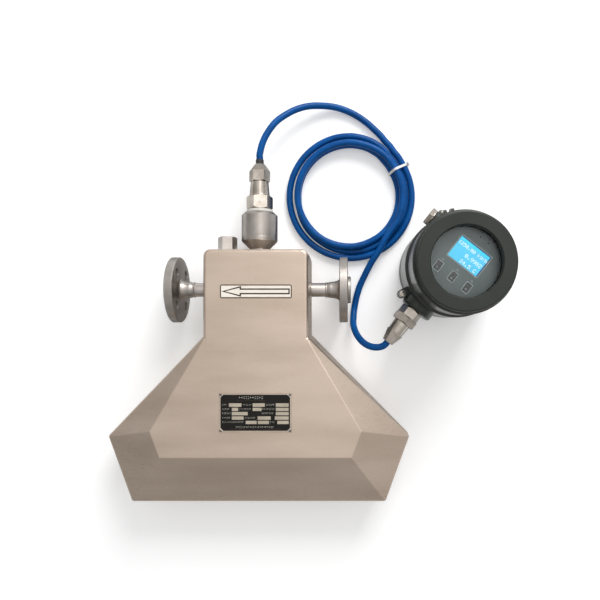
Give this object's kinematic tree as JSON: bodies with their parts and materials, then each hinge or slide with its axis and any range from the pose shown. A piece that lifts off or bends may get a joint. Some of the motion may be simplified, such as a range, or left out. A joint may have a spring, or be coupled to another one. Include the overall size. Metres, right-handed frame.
{
  "type": "coriolis flow meter",
  "caption": "Remote coriolis mass flow meter: a delta-shaped steel sensor case with two raised-face flanges, a coiled signal cable and a round transmitter with a window and display.",
  "frame": {"origin": "on the sensor case's back face, straight behind the crossing of the flow axis and the sensor's centre line", "axes": "+X along the flow axis towards the inlet flange, +Y up the neck towards the cable gland, +Z out of the case's front face"},
  "size_m": [0.5643, 0.5924, 0.16],
  "materials": {
    "case_sheet": "satin stainless sheet with a warm cast",
    "flange_steel": "turned stainless steel",
    "pipe_steel": "plain stainless steel",
    "copper_coil": "enamelled copper wire",
    "magnet_cup": "nickel plate",
    "plated_brass": "nickel-plated brass with a warm cast",
    "white_washer": "white plastic washer",
    "black_rubber": "black rubber",
    "arrow_sheet": "pale printed sheet",
    "name_sheet": "black printed sheet with bare fields",
    "housing_paint": "semi-gloss enamel on cast aluminium",
    "cover_paint": "semi-gloss dark enamel",
    "window_glass": "clear toughened glass",
    "black_ring": "black anodised ring",
    "panel_film": "grey printed film",
    "lcd_blue": "lit display with plain figures",
    "board_green": "circuit board",
    "key_black": "dark light-sensing key windows",
    "zinc_steel": "zinc-plated steel",
    "terminal_green": "moulded terminal strip",
    "cable_blue": "blue cable sheath",
    "tie_white": "natural nylon"
  },
  "bodies": {
    "base": {"case_front": "case_sheet", "case_back": "case_sheet", "inlet_flange": "flange_steel", "outlet_flange": "flange_steel", "inlet_pipe": "pipe_steel", "outlet_pipe": "pipe_steel", "inlet_manifold": "pipe_steel", "outlet_manifold": "pipe_steel", "front_flow_tube": "pipe_steel", "back_flow_tube": "pipe_steel", "brace_plates": "pipe_steel", "drive_coil": "copper_coil", "drive_magnet": "magnet_cup", "pickoff_coils": "copper_coil", "pickoff_magnets": "magnet_cup", "temperature_sensor": "plated_brass", "vent_boss": "pipe_steel", "vent_plug": "pipe_steel", "junction_boss": "pipe_steel", "feedthrough": "plated_brass", "gland_gasket": "white_washer", "gland_body": "plated_brass", "gland_sleeve": "plated_brass", "gland_clamp_nut": "plated_brass", "gland_seal": "black_rubber", "arrow_plate": "arrow_sheet", "name_plate_sheet": "name_sheet", "plate_rivets": "pipe_steel", "housing": "housing_paint", "display_panel": "panel_film", "lcd_module": "lcd_blue", "display_board": "board_green", "optical_keys": "key_black", "board_pillars": "zinc_steel", "main_board": "board_green", "terminal_block": "terminal_green", "terminal_screws": "zinc_steel", "ground_screw": "plated_brass", "ground_washer": "zinc_steel", "blank_plug": "plated_brass", "plug_gasket": "black_rubber", "entry_adapter": "plated_brass", "entry_lock_nut": "plated_brass", "entry_sleeve": "plated_brass", "entry_clamp_nut": "plated_brass", "entry_seal": "black_rubber", "cable_lead_in": "cable_blue", "cable_coil": "cable_blue", "cable_tail": "cable_blue", "cable_tie": "tie_white"},
    "front_seal_ring": {"front_seal": "black_rubber"},
    "front_cap": {"front_cover": "cover_paint", "window_glass": "window_glass", "window_ring": "black_ring"},
    "rear_seal_ring": {"rear_seal": "black_rubber"},
    "rear_cap": {"rear_cover": "cover_paint"}
  },
  "joints": [
    {"name": "front_cover_lift", "type": "slide", "parent": "base", "child": "front_seal_ring", "axis": [0, 0, 1], "range_m": [0, 0.01]},
    {"name": "front_cover_turn", "type": "hinge", "parent": "front_seal_ring", "child": "front_cap", "pos_m": [0.278, 0.0306, 0.15], "axis": [0, 0, 1], "range_deg": [0, 1800]},
    {"name": "rear_cover_lift", "type": "slide", "parent": "base", "child": "rear_seal_ring", "axis": [0, 0, -1], "range_m": [0, 0.01]},
    {"name": "rear_cover_turn", "type": "hinge", "parent": "rear_seal_ring", "child": "rear_cap", "pos_m": [0.278, 0.0306, 0.01], "axis": [0, 0, -1], "range_deg": [0, 1800]}
  ],
  "couplings": [
    {"joint": "front_cover_lift", "follows": "front_cover_turn", "m_per_rad": 0.0003183},
    {"joint": "rear_cover_lift", "follows": "rear_cover_turn", "m_per_rad": 0.0003183}
  ]
}
